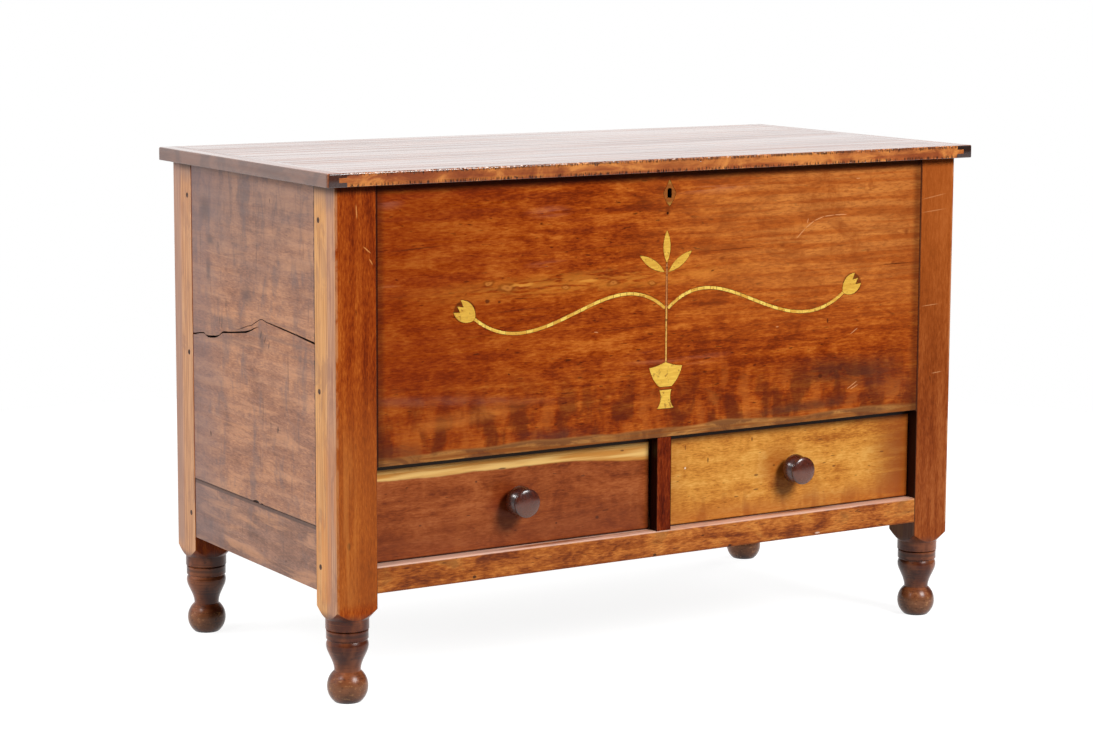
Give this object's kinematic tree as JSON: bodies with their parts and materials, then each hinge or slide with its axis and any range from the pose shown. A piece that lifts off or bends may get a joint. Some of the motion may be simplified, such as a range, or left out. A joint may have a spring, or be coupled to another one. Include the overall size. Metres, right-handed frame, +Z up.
{
  "type": "sugar chest",
  "caption": "Inlaid cherry sugar chest on turned feet, with a hinged lid over a divided bin and drawers below",
  "frame": {"origin": "On the floor, under the middle of the whole piece, lid overhangs and knobs included.", "axes": "+X to the right of someone who faces the chest, +Y from the front to the back, +Z up."},
  "size_m": [1.119, 0.567, 0.7445],
  "materials": {
    "cherry": "old cherry under worn shellac and wax",
    "lid_cherry": "old cherry, rubbed and polished, worn at the edges",
    "drawer_cherry": "cherry with streaks of paler sapwood",
    "knob_cherry": "turned and dark with handling",
    "poplar": "unfinished secondary wood, aged",
    "peg_wood": "dark end grain",
    "holly": "pale inlay, yellowed",
    "iron": "hand-filed wrought iron, dark",
    "screw_iron": "filed heads, dull"
  },
  "bodies": {
    "carcass": {"post_front_left": "cherry", "post_front_right": "cherry", "post_back_left": "cherry", "post_back_right": "cherry", "front_board": "cherry", "bottom_rail": "cherry", "drawer_divider": "cherry", "side_board_upper_left": "cherry", "side_board_lower_left": "cherry", "side_board_upper_right": "cherry", "side_board_lower_right": "cherry", "back_board_upper": "poplar", "back_board_lower": "poplar", "side_pegs_left": "peg_wood", "side_pegs_right": "peg_wood", "bin_floor_front": "poplar", "bin_floor_back": "poplar", "bin_partition": "poplar", "drawer_runner_left": "poplar", "drawer_runner_right": "poplar", "drawer_runner_centre": "poplar", "inlay_vine_left": "holly", "inlay_vine_right": "holly", "inlay_tulip_left": "holly", "inlay_tulip_right": "holly", "inlay_leaves": "holly", "inlay_stem": "holly", "inlay_urn_bowl": "holly", "inlay_urn_foot": "holly", "keyhole_escutcheon": "holly", "lock_plate": "iron", "lock_case": "iron", "lock_screws": "screw_iron", "hinge_left_case_leaf": "iron", "hinge_right_case_leaf": "iron", "hinge_left_pin": "iron", "hinge_right_pin": "iron", "hinge_case_screws": "screw_iron"},
    "lid": {"lid_board_front": "lid_cherry", "lid_board_back": "lid_cherry", "lid_end_left": "lid_cherry", "lid_end_right": "lid_cherry", "lock_staple": "iron", "staple_screws": "screw_iron", "hinge_left_lid_leaf": "iron", "hinge_right_lid_leaf": "iron", "hinge_lid_screws": "screw_iron"},
    "drawer_left": {"drawer_left_front": "drawer_cherry", "drawer_left_side_left": "poplar", "drawer_left_side_right": "poplar", "drawer_left_back": "poplar", "drawer_left_bottom": "poplar", "drawer_left_knob": "knob_cherry"},
    "drawer_right": {"drawer_right_front": "drawer_cherry", "drawer_right_side_left": "poplar", "drawer_right_side_right": "poplar", "drawer_right_back": "poplar", "drawer_right_bottom": "poplar", "drawer_right_knob": "knob_cherry"},
    "lock_bolt": {"lock_bolt": "iron"}
  },
  "joints": [
    {"name": "lid_hinge", "type": "hinge", "parent": "carcass", "child": "lid", "pos_m": [0, 0.2735, 0.725], "axis": [-1, 0, 0], "range_deg": [0, 105]},
    {"name": "drawer_left_slide", "type": "slide", "parent": "carcass", "child": "drawer_left", "axis": [0, -1, 0], "range_m": [0, 0.36]},
    {"name": "drawer_right_slide", "type": "slide", "parent": "carcass", "child": "drawer_right", "axis": [0, -1, 0], "range_m": [0, 0.36]},
    {"name": "lock_bolt_slide", "type": "slide", "parent": "carcass", "child": "lock_bolt", "axis": [1, 0, 0], "range_m": [0, 0.009]}
  ]
}
